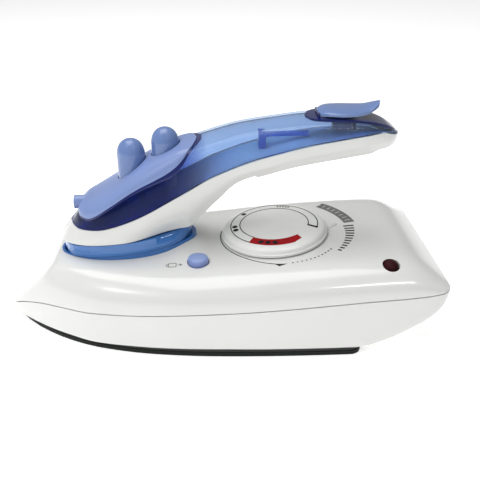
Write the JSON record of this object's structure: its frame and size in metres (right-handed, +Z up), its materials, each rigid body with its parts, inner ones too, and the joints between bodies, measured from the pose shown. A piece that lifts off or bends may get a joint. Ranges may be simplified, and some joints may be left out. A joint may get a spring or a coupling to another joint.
{
  "type": "travel steam iron",
  "caption": "Travel steam iron with folding tank handle, filler flap, spray and steam buttons, spray nozzle and thermostat dial.",
  "frame": {"origin": "on the floor plane under the middle of the body", "axes": "+X from the nose to the heel, +Y across the body away from the release button, +Z up"},
  "size_m": [0.19, 0.085, 0.098],
  "materials": {
    "sole_coating": "satin non-stick coating",
    "black_seal": "matte",
    "cast_aluminium": "as cast",
    "sheet_steel": "zinc plated",
    "heater_metal": "dark tube",
    "white_plastic": "high gloss moulded",
    "dial_white": "satin",
    "collar_blue": "translucent gloss",
    "ceramic": "matte",
    "red_lens": "dark translucent",
    "lamp_glass": "clear",
    "grey_rubber": "matte",
    "wire_sleeve": "woven sleeve",
    "grey_plastic": "matte",
    "spring_steel": "bright",
    "brass": "turned",
    "light_blue": "satin gloss",
    "tank_blue": "translucent gloss",
    "navy_plastic": "gloss",
    "clear_hose": "milky"
  },
  "bodies": {
    "base": {"soleplate": "sole_coating", "sole_gasket": "black_seal", "steam_chamber": "cast_aluminium", "chamber_cover": "sheet_steel", "heating_element": "heater_metal", "heat_shield": "sheet_steel", "skirt": "white_plastic", "upper_shell": "white_plastic", "collar": "collar_blue", "hinge_bracket": "sheet_steel", "hinge_pin": "sheet_steel", "thermostat": "ceramic", "pilot_lens": "red_lens", "pilot_lamp": "lamp_glass", "thermal_fuse": "sheet_steel", "terminal_block": "ceramic", "cord_bush": "grey_rubber", "cord_clamp": "ceramic", "wiring": "wire_sleeve", "sole_screws": "sheet_steel", "shell_screws": "sheet_steel", "latch_guide": "grey_plastic", "release_spring": "spring_steel"},
    "dial": {"dial_knob": "dial_white", "thermostat_shaft": "brass"},
    "release": {"release_button": "light_blue"},
    "latch": {"latch_bolt": "grey_plastic", "latch_spring": "spring_steel"},
    "handle": {"handle_shell": "white_plastic", "grip_plate": "white_plastic", "water_tank": "tank_blue", "tank_base": "tank_blue", "tank_baffle": "tank_blue", "control_cover": "light_blue", "rocker": "collar_blue", "spray_nozzle": "light_blue", "spray_pump": "ceramic", "steam_valve": "ceramic", "spray_spring": "spring_steel", "steam_spring": "spring_steel", "spray_tube": "clear_hose", "pickup_tube": "clear_hose", "filler_tray": "navy_plastic", "filler_neck": "navy_plastic", "flap_pin": "navy_plastic", "grip_screws": "sheet_steel", "rocker_screws": "sheet_steel"},
    "spray": {"spray_button": "light_blue", "spray_piston": "sheet_steel"},
    "steam": {"steam_button": "light_blue", "valve_rod": "sheet_steel"},
    "flap": {"filler_flap": "light_blue", "filler_seal": "grey_rubber"}
  },
  "joints": [
    {"name": "handle_fold", "type": "hinge", "parent": "base", "child": "handle", "pos_m": [-0.015, 0, 0.037], "axis": [0, 1, 0], "range_deg": [0, 24]},
    {"name": "dial_turn", "type": "hinge", "parent": "base", "child": "dial", "pos_m": [0.0253, 0, 0.0374], "axis": [0.0698, 0, -0.9976], "range_deg": [0, 280]},
    {"name": "release_press", "type": "slide", "parent": "base", "child": "release", "axis": [0, 0, -1], "range_m": [0, 0.0018], "stiffness_N_per_m": 800, "springref_m": -0.0005, "deforming": ["release_spring"]},
    {"name": "latch_slide", "type": "slide", "parent": "base", "child": "latch", "axis": [0, -1, 0], "range_m": [0, 0.0018]},
    {"name": "spray_press", "type": "slide", "parent": "handle", "child": "spray", "axis": [0, 0, -1], "range_m": [0, 0.0035], "stiffness_N_per_m": 600, "springref_m": -0.0005, "deforming": ["spray_spring"]},
    {"name": "steam_press", "type": "slide", "parent": "handle", "child": "steam", "axis": [0, 0, -1], "range_m": [0, 0.0035], "stiffness_N_per_m": 600, "springref_m": -0.0005, "deforming": ["steam_spring"]},
    {"name": "flap_open", "type": "hinge", "parent": "handle", "child": "flap", "pos_m": [0.0418, 0, 0.0935], "axis": [0, -1, 0], "range_deg": [0, 75]}
  ],
  "couplings": [
    {"joint": "latch_slide", "follows": "release_press", "ratio": 1}
  ]
}
